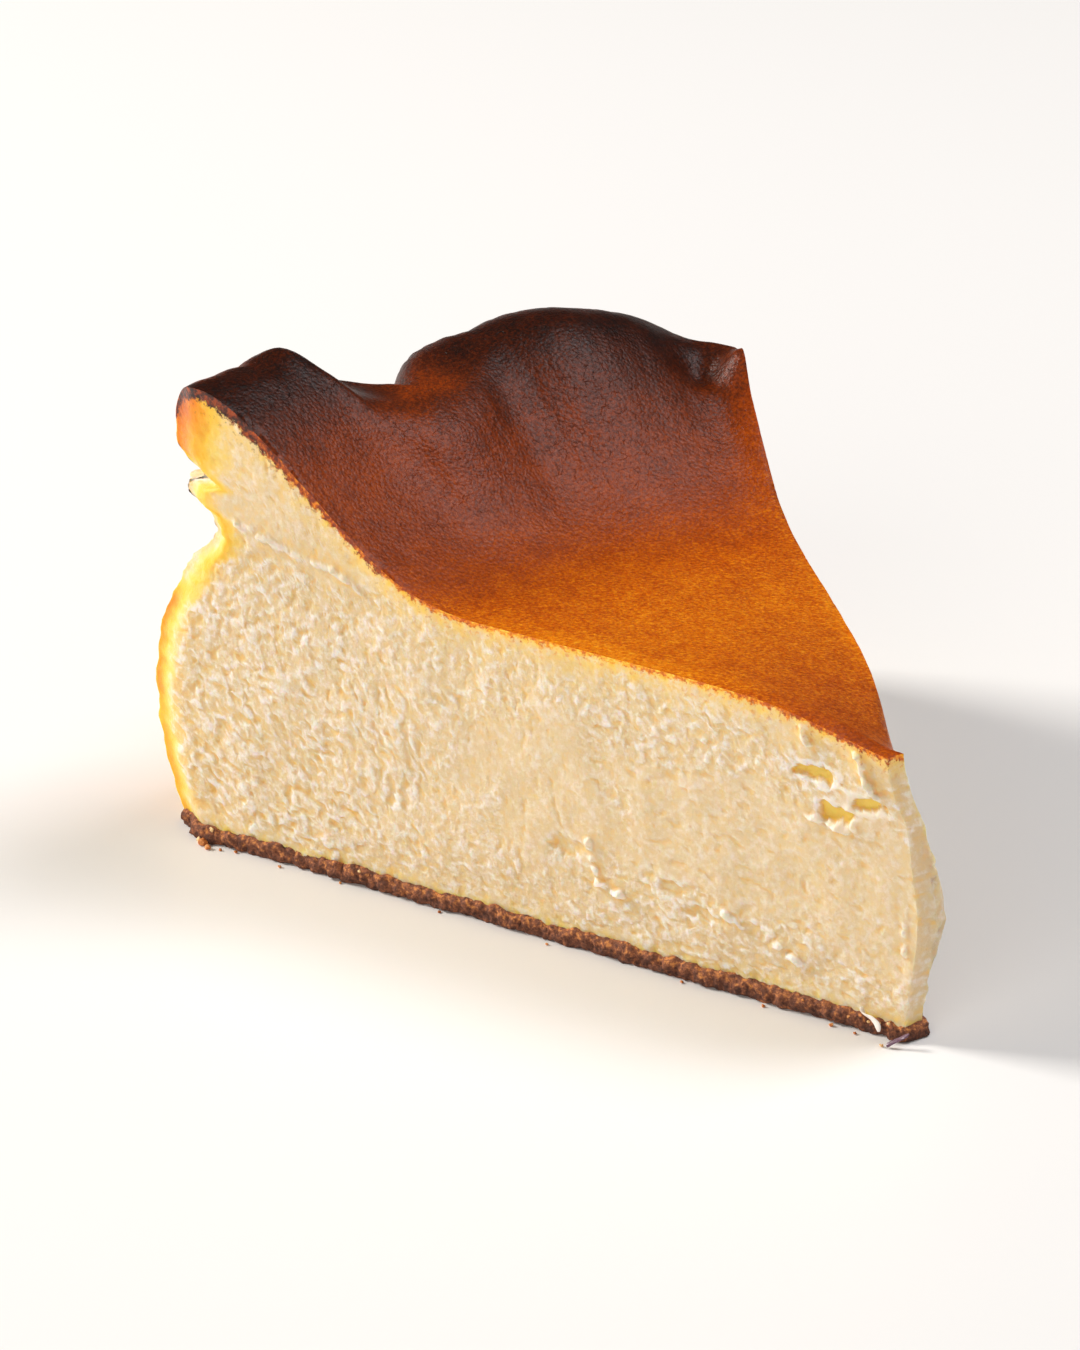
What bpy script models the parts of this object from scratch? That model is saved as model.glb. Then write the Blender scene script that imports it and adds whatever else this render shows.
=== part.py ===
"""One slice of a basque burnt cheesecake, an eighth of a 20 cm cake: baked custard on a thin crumb base.

Lengths are in millimetres until a mesh is made. The cake's axis stands at the slice's tip, which points
to +X. Angles are in degrees about that axis, from the near cut (on the -Y side) to the far cut.
"""

import math

import bmesh
import bpy
from mathutils import Vector, noise
from mathutils.geometry import delaunay_2d_cdt

MM = 0.001

# The slice
SLICE_ANGLE = 45.0
CAKE_RADIUS = 100.0
TIP_START = 0.9  # the far cut stops this far from the axis, which leaves a blunt tip
AXIS_FROM_ORIGIN = (51.7, 0.7)  # puts the origin under the middle of the slice's box

# The crumb base and the custard on it
BASE_THICKNESS = 1.5
BASE_GAP = 0.3
CUSTARD_FOOT = BASE_THICKNESS + BASE_GAP

# The top: sunken and level in the middle, climbing to the rim
MIDDLE_HEIGHT = 37.3
TIP_DROP, TIP_DROP_REACH = 3.6, 13.0
FAR_SIDE_DROP = 2.5
CLIMB_START = 56.0  # distance from the axis where the top begins to climb
CLIMB_BIAS = 1.25
CREST_DROP = 5.0  # the rim rolls over by this much before the wall begins

# (angle, height) of the rim's crest, and (angle, its distance in from the wall)
CREST_HEIGHTS = ((0, 57.5), (5, 56.8), (8.5, 56.4), (11.5, 52.3), (14.5, 50.7), (17, 51.0), (21, 51.3),
                 (30, 53.4), (37, 51.0), (42, 46.8), (45, 46.8))
CREST_INSETS = ((0, 4.5), (10, 4.5), (20, 6.5), (32, 8.0), (45, 4.0))

# Knobs and a groove on the crest: (angle, distance from the axis, height, half width)
CREST_BUMPS = ((8.0, 94.5, 0.8, 3.0), (45.0, 85.5, 2.4, 2.6), (41.5, 87.0, -1.6, 2.6))
TOP_WAVE, TOP_WAVE_SIZE = 0.25, 14.0

# The wall: a low belly and the folds of the baking paper
BELLY, BELLY_HEIGHT, BELLY_REACH = 4.0, 17.0, 17.0
WRINKLE, WRINKLE_SIZE = 0.5, 7.0
# (angle, half width in degrees, depth at the rim, depth at the foot)
PAPER_FOLDS = ((16.0, 5.0, 8.5, 1.5), (48.0, 9.0, 16.0, 4.0), (6.5, 2.2, 0.2, 1.3),
               (24.5, 2.4, 0.2, 2.0), (29.5, 3.0, 0.3, 1.6), (36.5, 3.4, 0.4, 2.8))
FOLD_TOP = 50.0  # height at which a fold has its full rim depth
# The torn notch under the rim at the near corner
NOTCH_DEPTH, NOTCH_HEIGHT, NOTCH_HALF, NOTCH_ANGLE = 7.0, 39.0, 6.0, 6.0

# The cuts: the near one stands out between its rounded corners, the far one swells where it is softest
NEAR_STANDS_OUT, NEAR_CORNER = 2.15, 4.5
FAR_BULGE, FAR_BULGE_REACH = 2.9, 40.0
FAR_TOP_INSET, FAR_INSET_REACH = 1.8, 18.0
WAVE_SIZE, WAVE_DEPTH = 17.0, 0.55
CRAG_SIZE, CRAG_DEPTH = 5.0, 0.75
FLAKE_BAND, FLAKE_DEPTH = 9.0, 0.6  # the torn, flaky band above the base
# Torn hollows in the near cut: (distance from the axis, height, half length, half height, depth)
NEAR_HOLLOWS = ((13.5, 27.6, 3.2, 1.2, 1.7), (7.6, 25.0, 2.6, 1.2, 1.6), (11.6, 23.2, 2.4, 1.4, 1.8),
                (42.5, 17.5, 3.4, 1.8, 1.3), (33.0, 13.6, 2.8, 1.5, 1.4), (27.4, 11.2, 3.0, 1.4, 1.5),
                (66.0, 30.5, 2.6, 1.4, 0.9), (83.0, 12.0, 3.0, 1.6, 1.0))
FAR_HOLLOWS = ((22.0, 24.0, 3.4, 1.6, 1.6), (37.0, 14.0, 3.0, 1.8, 1.5), (52.0, 26.0, 2.6, 1.4, 1.3),
               (68.0, 13.0, 3.6, 1.5, 1.4), (30.0, 8.5, 3.0, 1.2, 1.2))

# How closely the surfaces are divided
CUT_STEP, WALL_STEP, TOP_STEP, BOTTOM_STEP = 1.9, 2.2, 2.4, 7.0
LEVELS = 22
BASE_STEP, BASE_LEVELS = 1.7, 3
CRUMB_SIZE, CRUMB_DEPTH = 2.2, 0.55


def clamp(value, low=0.0, high=1.0):
    return max(low, min(high, value))


def ease(share):
    """A smooth step from 0 to 1."""
    share = clamp(share)
    return share * share * (3 - 2 * share)


def bell(offset):
    """1 in the middle, falling to almost 0 at an offset of 2."""
    return math.exp(-offset * offset)


def crease(offset):
    """A fold's section: 1 at its sharp bottom, 0 from an offset of 1."""
    return (1 - abs(offset)) ** 2 if abs(offset) < 1 else 0.0


def read_curve(points, at):
    """The smooth curve through (place, value) points, read at a place."""
    last = len(points) - 1
    i = max(j for j in range(last) if at >= points[j][0] or j == 0)
    (x0, y0), (x1, y1) = points[i], points[i + 1]
    width = x1 - x0

    def slope(j):
        if j in (0, last):
            return 0.0
        return (points[j + 1][1] - points[j - 1][1]) / (points[j + 1][0] - points[j - 1][0])

    t = clamp((at - x0) / width)
    bend = t * (1 - t) * width * (slope(i) * (1 - t) - slope(i + 1) * t)
    return y0 + (y1 - y0) * ease(t) + bend


def direction(angle):
    """The level direction from the cake's axis at an angle."""
    turn = math.radians(angle - SLICE_ANGLE / 2)
    return Vector((-math.cos(turn), math.sin(turn), 0))


def angle_of(point):
    """The angle about the axis at which a point lies, kept within the slice."""
    angle = math.degrees(math.atan2(point.y, -point.x)) + SLICE_ANGLE / 2
    return clamp(angle, 0, SLICE_ANGLE)


NEAR, FAR = direction(0), direction(SLICE_ANGLE)
NEAR_OUT = Vector((-NEAR.y, NEAR.x, 0))  # each cut's outward normal
FAR_OUT = Vector((FAR.y, -FAR.x, 0))


def wall_radius(angle, height):
    """How far the wall is from the cake's axis."""
    belly = BELLY * max(0.0, 1 - ((height - BELLY_HEIGHT) / BELLY_REACH) ** 2)
    up = ease(height / FOLD_TOP)
    folds = sum((foot + (rim - foot) * up) * crease((angle - at) / half)
                for at, half, rim, foot in PAPER_FOLDS)
    notch = NOTCH_DEPTH * bell((height - NOTCH_HEIGHT) / NOTCH_HALF) * ease(1 - angle / NOTCH_ANGLE)
    return CAKE_RADIUS + belly - folds - notch


def wall_top(angle):
    """The height at which the wall meets the rim's roll."""
    return read_curve(CREST_HEIGHTS, angle) - CREST_DROP


def rim_radius(angle):
    return wall_radius(angle, wall_top(angle))


def top_height(angle, radius):
    """The height of the browned top."""
    middle = MIDDLE_HEIGHT - TIP_DROP * bell(radius / TIP_DROP_REACH) - FAR_SIDE_DROP * angle / SLICE_ANGLE
    inset = read_curve(CREST_INSETS, angle)
    from_wall = rim_radius(angle) - radius
    climb = (radius - CLIMB_START) / (rim_radius(angle) - inset - CLIMB_START)
    height = middle + (read_curve(CREST_HEIGHTS, angle) - middle) * ease(clamp(climb) ** CLIMB_BIAS)
    if from_wall < inset:
        over = clamp(1 - from_wall / inset)
        height -= CREST_DROP * (1 - math.sqrt(1 - over * over))
    here = direction(angle) * radius
    for at, out, rise, half in CREST_BUMPS:
        height += rise * bell((here - direction(at) * out).length / half)
    return height


def rough(point, size, seed):
    """Even noise from about -1 to 1, in lumps of a size."""
    return 2 * noise.noise(point / size + Vector((seed, 3.7 * seed, -seed)))


def hollows(spots, along, height):
    """How deep the torn hollows are at a place on a cut."""
    return sum(depth * bell(math.hypot((along - a) / long, (height - h) / high) * 1.2)
               for a, h, long, high, depth in spots)


def cut_relief(point, angle, spots, seed):
    """How far a cut's surface stands out of its plane: broad waves, crags, flakes above the base, hollows."""
    along = point.dot(direction(angle))
    below_top = top_height(angle, min(along, rim_radius(angle))) - point.z
    to_edge = min(below_top, wall_radius(angle, point.z) - along)
    calm = 0.25 + 0.75 * ease(to_edge / 4)
    waves = WAVE_DEPTH * rough(point, WAVE_SIZE, seed)
    crags = CRAG_DEPTH * (rough(point, CRAG_SIZE, seed + 5) + 0.5 * rough(point, CRAG_SIZE / 2, seed + 9))
    flakes = FLAKE_DEPTH * abs(rough(point, CRAG_SIZE * 0.7, seed + 13)) * ease((FLAKE_BAND - point.z) / 4)
    return waves + (crags + flakes) * calm - hollows(spots, along, point.z)


def near_offset(share):
    """How far the near cut stands out of the plane through its corners."""
    from_corner = CAKE_RADIUS * min(share, 1 - share)
    return NEAR_STANDS_OUT * ease(from_corner / NEAR_CORNER)


def far_offset(share, level):
    """How far the far cut stands out: the soft middle swells, and the top edge is drawn in by the tip."""
    along = share * CAKE_RADIUS
    swell = FAR_BULGE * bell((level - 0.45) / 0.33) * (0.35 + 0.65 * bell(along / FAR_BULGE_REACH))
    drawn_in = FAR_TOP_INSET * ease((level - 0.6) / 0.4) * bell(along / FAR_INSET_REACH)
    return (swell - drawn_in) * ease((1 - share) * 12)


def outline_stations(cut_step, wall_step, wall_at):
    """(angle, share of the radius) round the slice: out by the near cut, round the wall, back to the tip."""
    cut_count = round(CAKE_RADIUS / cut_step)
    shares = [i / cut_count for i in range(cut_count + 1)]
    wall_count = round(math.radians(SLICE_ANGLE) * wall_at / wall_step)
    near = [(0.0, share) for share in shares]
    wall = [(SLICE_ANGLE * i / wall_count, 1.0) for i in range(1, wall_count)]
    far = [(SLICE_ANGLE, share) for share in reversed(shares)]
    return near + wall + far


def distance_to_edge(point, start, end):
    """How far a plan point is from a plan edge."""
    edge = end - start
    share = clamp((point - start).dot(edge) / edge.length_squared)
    return (point - start - edge * share).length


def is_inside(point, loop):
    """Whether a plan point is inside a closed plan loop."""
    inside = False
    for start, end in zip(loop, loop[1:] + loop[:1]):
        if (start.y > point.y) != (end.y > point.y):
            crossing = start.x + (point.y - start.y) * (end.x - start.x) / (end.y - start.y)
            inside ^= point.x < crossing
    return inside


def inner_points(step, loop, margin):
    """Plan points in even rows inside a plan loop, at least a margin from it."""
    rows = round(1.1 * CAKE_RADIUS / (step * 0.87))
    half = round(0.5 * CAKE_RADIUS / step)
    grid = [Vector((-step * 0.87 * (row + 0.5), step * (column + 0.5 * (row % 2))))
            for row in range(rows) for column in range(-half, half)]
    edges = list(zip(loop, loop[1:] + loop[:1]))
    return [point for point in grid
            if is_inside(point, loop) and min(distance_to_edge(point, *edge) for edge in edges) > margin]


def cap(loop, inside):
    """Triangles between a closed plan loop and the points inside it, as indices into loop + inside."""
    plan = loop + inside
    count = len(loop)
    edges = [(i, (i + 1) % count) for i in range(count)]
    _, _, faces, from_points, _, _ = delaunay_2d_cdt(plan, edges, [], 1, 1e-6)
    return [[from_points[i][0] for i in face] for face in faces]


def close(mesh, ring, step, height_at, upward):
    """Closes a shell's end ring with an even sheet of points at heights given by their plan."""
    loop = [vertex.co.xy for vertex in ring]
    inside = inner_points(step, loop, step * 0.5)
    sheet = ring + [mesh.verts.new((*point, height_at(point))) for point in inside]
    for face in cap(loop, inside):
        mesh.faces.new([sheet[i] for i in (face if upward else reversed(face))])


def closed_shell(stations, levels, place, top_step, height_at, foot):
    """A bmesh of the sides, level by level up each station, closed by a top and a bottom."""
    mesh = bmesh.new()
    rings = [[mesh.verts.new(place(station, level / levels)) for station in stations]
             for level in range(levels + 1)]
    count = len(stations)
    for low, high in zip(rings, rings[1:]):
        for i in range(count):
            j = (i + 1) % count
            mesh.faces.new((low[i], low[j], high[j], high[i]))
    close(mesh, rings[-1], top_step, height_at, True)
    close(mesh, rings[0], BOTTOM_STEP, lambda point: foot, False)
    bmesh.ops.recalc_face_normals(mesh, faces=mesh.faces)
    bmesh.ops.triangulate(mesh, faces=mesh.faces)
    mesh.normal_update()
    return mesh


def place_custard(station, level):
    """Where a point of the custard's sides lies, before its relief."""
    angle, share = station
    out = far_offset(share if angle == SLICE_ANGLE else 0.0, level)
    drawn_in = max(0.0, -out) if angle in (0, SLICE_ANGLE) else 0.0
    turn = math.radians(SLICE_ANGLE)
    start = drawn_in / math.sin(turn) if angle == 0 else TIP_START + drawn_in / math.tan(turn)
    reach = rim_radius(angle)
    top = top_height(angle, start + share * (reach - start))
    height = CUSTARD_FOOT + level * (top - CUSTARD_FOOT)
    reach = wall_radius(angle, height)
    point = direction(angle) * (start + share * (reach - start)) + Vector((0, 0, height))
    if angle == SLICE_ANGLE:
        point += FAR_OUT * out
    if angle == 0:
        point += NEAR_OUT * near_offset(share)
    return point


def custard_relief(vertex):
    """The custard's relief at a vertex, by which of its sides the vertex lies on."""
    point = vertex.co
    if vertex.normal.z < -0.9:
        return 0.0
    if vertex.normal.dot(NEAR_OUT) > 0.5:
        return cut_relief(point, 0, NEAR_HOLLOWS, 1)
    if vertex.normal.dot(FAR_OUT) > 0.5:
        return cut_relief(point, SLICE_ANGLE, FAR_HOLLOWS, 2)
    if vertex.normal.z > 0.5:
        return TOP_WAVE * rough(point, TOP_WAVE_SIZE, 3)
    on_wall = ease((point.xy.length - 60) / 20)
    wrinkle = WRINKLE * rough(Vector((angle_of(point) * 1.7, point.z * 0.5, 0)), WRINKLE_SIZE, 4)
    return on_wall * (wrinkle + 0.6 * WRINKLE * rough(point, WRINKLE_SIZE * 0.7, 6))


def place_base(station, level):
    """Where a point of the crumb base's edge lies, before its crumbs."""
    angle, share = station
    start = 0.0 if angle == 0 else TIP_START
    along = start + share * (wall_radius(angle, BASE_THICKNESS / 2) - start)
    point = direction(angle) * along + Vector((0, 0, level * BASE_THICKNESS))
    if angle == 0:
        point += NEAR_OUT * near_offset(share)
    return point


def base_relief(vertex):
    """Crumbs stand out of the base's edge, and its flat faces stay flat."""
    if abs(vertex.normal.z) > 0.95:
        return 0.0
    return CRUMB_DEPTH * rough(vertex.co, CRUMB_SIZE, 7)


def displaced(mesh, relief, level_edges):
    """Moves each vertex out by its relief, level only where its edge has to stay at one height."""
    moves = []
    for vertex in mesh.verts:
        out = vertex.normal.copy()
        if level_edges(vertex):
            out.z = 0
            out.normalize()
        moves.append(out * relief(vertex))
    for vertex, move in zip(mesh.verts, moves):
        vertex.co += move
    return mesh


def to_object(name, mesh, material):
    """Makes the object, in metres, with the origin under the middle of the slice."""
    for vertex in mesh.verts:
        vertex.co = (vertex.co + Vector((*AXIS_FROM_ORIGIN, 0))) * MM
    data = bpy.data.meshes.new(name)
    mesh.to_mesh(data)
    mesh.free()
    data.shade_smooth()
    data.set_sharp_from_angle(angle=math.radians(50))
    data.materials.append(material)
    made = bpy.data.objects.new(name, data)
    bpy.context.scene.collection.objects.link(made)
    return made


def plain_material(name, colour, roughness):
    material = bpy.data.materials.new(name)
    material.use_nodes = True
    shader = material.node_tree.nodes["Principled BSDF"]
    shader.inputs["Base Color"].default_value = (*colour, 1)
    shader.inputs["Roughness"].default_value = roughness
    shader.inputs["Metallic"].default_value = 0.0
    return material


def make_custard():
    stations = outline_stations(CUT_STEP, WALL_STEP, CAKE_RADIUS)
    top = lambda plan: top_height(angle_of(plan), plan.length)
    shell = closed_shell(stations, LEVELS, place_custard, TOP_STEP, top, CUSTARD_FOOT)
    displaced(shell, custard_relief, lambda vertex: vertex.co.z < CUSTARD_FOOT + 0.01)
    return to_object("custard", shell, plain_material("custard", (0.86, 0.70, 0.38), 0.55))


def make_crumb_base():
    stations = outline_stations(BASE_STEP, BASE_STEP, CAKE_RADIUS)
    shell = closed_shell(stations, BASE_LEVELS, place_base, BOTTOM_STEP, lambda point: BASE_THICKNESS, 0.0)
    displaced(shell, base_relief, lambda vertex: vertex.co.z < 0.01 or vertex.co.z > BASE_THICKNESS - 0.01)
    return to_object("crumb_base", shell, plain_material("crumb_base", (0.16, 0.07, 0.03), 0.85))


def main():
    for old in list(bpy.data.objects):
        bpy.data.objects.remove(old)
    make_custard()
    make_crumb_base()


main()
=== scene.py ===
"""Dresses the slice of basque burnt cheesecake: torn custard, browned skin, crumb base and loose crumbs.

Lengths in the shape code are in millimetres and angles in degrees, as in the part's own source, with
the cake's axis at the slice's tip. place_mesh turns them into the frame's metres.
"""

import itertools
import math
from collections import namedtuple

import bmesh
import bpy
import numpy as np
from mathutils import Matrix, Vector
from mathutils.geometry import delaunay_2d_cdt


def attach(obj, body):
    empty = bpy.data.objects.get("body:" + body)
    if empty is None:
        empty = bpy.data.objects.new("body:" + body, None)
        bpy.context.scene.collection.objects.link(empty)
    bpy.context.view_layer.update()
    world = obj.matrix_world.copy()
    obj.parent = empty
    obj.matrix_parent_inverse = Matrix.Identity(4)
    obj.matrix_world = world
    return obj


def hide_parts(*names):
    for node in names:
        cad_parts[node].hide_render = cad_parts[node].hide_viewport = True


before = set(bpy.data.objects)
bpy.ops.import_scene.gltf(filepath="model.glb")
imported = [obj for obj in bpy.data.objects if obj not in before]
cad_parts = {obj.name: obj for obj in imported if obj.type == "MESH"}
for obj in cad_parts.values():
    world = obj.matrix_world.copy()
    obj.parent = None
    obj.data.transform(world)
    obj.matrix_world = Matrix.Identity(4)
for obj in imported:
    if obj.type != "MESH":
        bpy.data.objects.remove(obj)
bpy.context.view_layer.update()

MM = 0.001

# The slice, as in the part
SLICE_ANGLE = 45.0
CAKE_RADIUS = 100.0
TIP_START = 0.9
AXIS_FROM_ORIGIN = (51.7, 0.7)
MM_PER_DEGREE = 1.7  # along the wall

# The top
MIDDLE_HEIGHT = 37.3
TIP_DROP, TIP_DROP_REACH = 3.6, 13.0
FAR_SIDE_DROP = 2.5
CLIMB_START = 56.0
CLIMB_BIAS = 1.25
CREST_DROP = 5.0
# Along the rim: (angle, height of the crest), and (angle, how far the crest lies in from the wall)
CREST_HEIGHTS = ((0, 57.5), (5, 56.8), (8.5, 56.4), (11.5, 52.3), (14.5, 50.7), (17, 51.0), (21, 51.3),
                 (30, 53.4), (37, 51.0), (42, 46.8), (45, 46.8))
CREST_INSETS = ((0, 4.5), (10, 4.5), (20, 6.5), (32, 8.0), (45, 4.0))
# The top climbs at first as at the near cut, out to an angle, and flattens where the rim is lower
LEAD_END, LEAD_FADE = 27.0, 15.0
# Small rises and dips by the rim: (angle, distance from the axis, rise, half width)
CREST_BUMPS = ((8.0, 94.5, 0.8, 3.0), (45.0, 85.5, 2.4, 2.6), (41.5, 87.0, -1.6, 2.6))

# The wall
BELLY, BELLY_HEIGHT, BELLY_REACH = 4.0, 17.0, 17.0
# Where the baking paper folded in: (angle, half width, depth at the rim, depth at the foot)
PAPER_FOLDS = ((17.0, 6.0, 8.5, 1.5), (48.0, 9.0, 16.0, 4.0), (6.5, 2.2, 0.2, 1.3),
               (24.5, 2.4, 0.2, 2.0), (29.5, 3.0, 0.3, 1.6), (36.5, 3.4, 0.4, 2.8))
FOLD_TOP = 50.0
# The torn notch at the near corner: (height, depth), fading out by an angle
TEAR = ((27, 0.0), (30, 0.7), (32.5, 0.9), (34.2, 1.3), (35.5, 2.3), (36.6, 3.3), (37.6, 4.3), (38.5, 5.3),
        (39.7, 5.9), (41, 5.1), (42.2, 4.6), (42.9, 2.4), (43.4, 1.5), (44.2, 1.3), (45.0, 1.6), (45.7, 4.8),
        (46.1, 4.6), (46.8, 3.1), (47.6, 1.8), (48.3, 1.0), (49, 0.5), (51, 0.3), (53.5, 0.6), (57, 0.0))
TEAR_ANGLE = 7.0
TEAR_FOOT, TEAR_TOP = 29.0, 49.5  # the heights between which the corner shows bare custard

# The cuts
# How far the near cut stands out of its plane, and over what length that begins at the wall and at the tip
NEAR_STANDS_OUT, NEAR_CORNER, TIP_CORNER = 2.15, 4.5, 0.9
NEAR_REACH = 1.5  # how far the near cut passes the tip at its middle
FAR_BULGE, FAR_BULGE_REACH = 2.9, 40.0
FAR_TOP_INSET, FAR_INSET_REACH = 1.8, 18.0
CUSTARD_FOOT = 1.15  # the custard sinks a little into the crumb base

# How closely each surface is divided
NEAR_STEP, NEAR_LEVELS = 0.28, 140
FAR_STEP, WALL_STEP, OTHER_LEVELS = 0.55, 0.62, 78
TORN_COLUMNS = (0.53, 0.89, 1.24)  # more columns on the wall where the corner is torn
TOP_STEP, ROLL_ROWS, TIP_COLUMNS = 0.6, 14, 7
UNDERSIDE_STEP, BASE_STEP = 4.0, 0.36
SHARP_ANGLE = 60.0  # in degrees: a sharper fold between two faces stays an edge
EVEN_AREA = 1.2  # over about how wide an area, in square millimetres, a place's depth is judged

# The crumb base's edge: how thick, how far proud of the custard, and at what height it follows the wall
BASE_THICK, BASE_PROUD, BASE_FOOT = 2.25, 0.75, 0.7
# Its profile from the foot up: (share of the thickness, how far it draws in)
BASE_PROFILE = ((0.0, 0.35), (0.1, 0.08), (0.25, 0.0), (0.42, 0.0), (0.58, 0.0), (0.75, 0.06), (0.9, 0.25),
                (1.0, 0.7))
ON_FLOOR = 0.02  # nothing goes lower than this

# The camera, fitted to the photograph, in the part's own frame
CAMERA_AT = (505.9 + AXIS_FROM_ORIGIN[0], -387.6 + AXIS_FROM_ORIGIN[1], 337.7)
CAMERA_TURN, CAMERA_PITCH, CAMERA_ROLL = 56.27, 24.75, 0.83
CAMERA_LENS = 173.33
FIBRES_TURN = 56.27  # the way that the amber skin's fibres run


# Numbers

def ease(share):
    share = np.clip(share, 0, 1)
    return share * share * (3 - 2 * share)


def bell(offset):
    return np.exp(-np.square(offset))


def least(first, second, width):
    """The lesser of two values, with a soft change over a width."""
    share = np.clip(0.5 + 0.5 * (second - first) / width, 0, 1)
    return second + (first - second) * share - width * share * (1 - share)


def read_curve(points, at):
    """The smooth curve through (place, value) points, read at each place."""
    x, y = np.array(points, float).T
    slope = np.zeros(len(x))
    slope[1:-1] = (y[2:] - y[:-2]) / (x[2:] - x[:-2])
    at = np.asarray(at, float)
    i = np.clip(np.searchsorted(x, at, "right") - 1, 0, len(x) - 2)
    width = x[i + 1] - x[i]
    t = np.clip((at - x[i]) / width, 0, 1)
    return y[i] + (y[i + 1] - y[i]) * ease(t) + t * (1 - t) * width * (slope[i] * (1 - t) - slope[i + 1] * t)


MASK = 0xFFFFFFFF
GRADIENTS = np.array([(1, 1, 0), (-1, 1, 0), (1, -1, 0), (-1, -1, 0), (1, 0, 1), (-1, 0, 1), (1, 0, -1),
                      (-1, 0, -1), (0, 1, 1), (0, -1, 1), (0, 1, -1), (0, -1, -1), (1, 1, 0), (-1, 1, 0),
                      (0, -1, 1), (0, -1, -1)], float)


def scatter(cells, seed):
    """A random whole number for each whole-number cell."""
    mixed = (cells @ np.array((374761393, 668265263, 1103515245)) + seed * 144665) & MASK
    mixed = ((mixed ^ (mixed >> 13)) * 1274126177) & MASK
    return (mixed ^ (mixed >> 16)) & MASK


def noise(points, size, seed):
    """Even gradient noise, about -1 to 1, in lumps of a size."""
    places = points / size + 0.37 * seed
    low = np.floor(places)
    part = places - low
    cells = low.astype(np.int64)
    fade = part ** 3 * (part * (part * 6 - 15) + 10)
    total = np.zeros(len(points))
    for corner in itertools.product((0, 1), repeat=3):
        gradient = GRADIENTS[scatter(cells + corner, seed) & 15]
        weight = np.prod(np.where(corner, fade, 1 - fade), axis=1)
        total += weight * np.einsum("ij,ij->i", gradient, part - corner)
    return total * 1.4


def layered(points, size, seed, octaves=3, fold=False):
    """Noise with finer noise on it. Folded, it makes puffs with sharp creases between them."""
    total = 0
    for i in range(octaves):
        layer = noise(points, size / 2 ** i, seed + 11 * i)
        total = total + (np.abs(layer) * 2 - 0.55 if fold else layer) / 2 ** i
    return total


def grains(points, size, seed):
    """Rounded grains packed in cells of a size: 1 at a grain's middle, 0 between grains."""
    places = points / size
    cells = np.floor(places).astype(np.int64)
    nearest = np.full(len(points), 9.0)
    for offset in itertools.product((-1, 0, 1), repeat=3):
        cell = cells + offset
        middles = np.stack([scatter(cell, seed + i) / MASK for i in range(3)], axis=1)
        nearest = np.minimum(nearest, np.sum((cell + middles - places) ** 2, axis=1))
    return np.clip(1 - nearest / 0.55, 0, 1)


# The slice's form

def direction(angle):
    turn = np.radians(np.asarray(angle, float) - SLICE_ANGLE / 2)
    return np.stack([-np.cos(turn), np.sin(turn), np.zeros_like(turn)], axis=-1)


UP = np.array((0.0, 0.0, 1.0))
NEAR, FAR = direction(0.0), direction(SLICE_ANGLE)
NEAR_OUT = np.array((-NEAR[1], NEAR[0], 0))
FAR_OUT = np.array((FAR[1], -FAR[0], 0))


def angle_of(points):
    angle = np.degrees(np.arctan2(points[:, 1], -points[:, 0])) + SLICE_ANGLE / 2
    return np.clip(angle, 0, SLICE_ANGLE)


def placed(angle, radius, height):
    return direction(angle) * radius[:, None] + UP * height[:, None]


def wall_place(angle, height, squeeze=1.0):
    """Where noise is read on the wall: along it, and up it. Squeezed, the noise runs down the wall."""
    return np.stack([angle * MM_PER_DEGREE, height * squeeze, 0 * height], axis=-1).reshape(-1, 3)


def off_corners(angle):
    """0 at the wall's two ends, 1 a little way along it."""
    return ease(np.minimum(angle, SLICE_ANGLE - angle) / 1.5)


def crease(offset):
    return np.square(np.clip(1 - np.abs(offset), 0, 1))


def bared(height, angle=0.0):
    """1 where the torn corner shows custard instead of skin, 0 above, below and beyond."""
    upright = ease((height - TEAR_FOOT) / 5) * ease((TEAR_TOP - height) / 2.5)
    return ease(1.15 - angle / TEAR_ANGLE) * upright


def torn_away(angle, height):
    """How deep the paper tore the wall off at the near corner."""
    place = wall_place(angle, height)
    jagged = layered(place, 2.4, 31).reshape(angle.shape)
    serrated = noise(place, 0.9, 32).reshape(angle.shape)
    shown = ease(1.15 - angle / TEAR_ANGLE + 0.3 * jagged)
    heights, depths = zip(*TEAR)
    depth = np.interp(height + 0.8 * jagged * ease(angle / 2), heights, depths)
    return shown * (depth + 0.3 * serrated * ease(depth / 1.5))


def wall_radius(angle, height, torn=1.0):
    angle, height = np.broadcast_arrays(np.asarray(angle, float), np.asarray(height, float))
    belly = BELLY * np.clip(1 - ((height - BELLY_HEIGHT) / BELLY_REACH) ** 2, 0, None)
    up = ease(height / FOLD_TOP)
    folds = sum((foot + (rim - foot) * up) * crease((angle - at) / half)
                for at, half, rim, foot in PAPER_FOLDS)
    place = wall_place(angle, height)
    rough = 0.22 * noise(place, 2.6, 33) + 0.14 * noise(place, 1.1, 34)
    return CAKE_RADIUS + belly - folds + rough.reshape(angle.shape) - torn * torn_away(angle, height)


def wall_top(angle):
    return read_curve(CREST_HEIGHTS, angle) - CREST_DROP


def rim_radius(angle):
    return wall_radius(angle, wall_top(angle))


def middle_height(angle, radius):
    return MIDDLE_HEIGHT - TIP_DROP * bell(radius / TIP_DROP_REACH) - FAR_SIDE_DROP * angle / SLICE_ANGLE


def climb_share(angle, radius):
    """0 on the sunken middle, 1 on the rim's crest. The paper's folds are evened out here."""
    spread = [rim_radius(np.clip(angle + step, 0, SLICE_ANGLE)) for step in (-4, -2.4, -0.8, 0.8, 2.4, 4)]
    crest = sum(spread) / len(spread) - read_curve(CREST_INSETS, angle)
    return ease(np.clip((radius - CLIMB_START) / (crest - CLIMB_START), 0, 1) ** CLIMB_BIAS)


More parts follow.
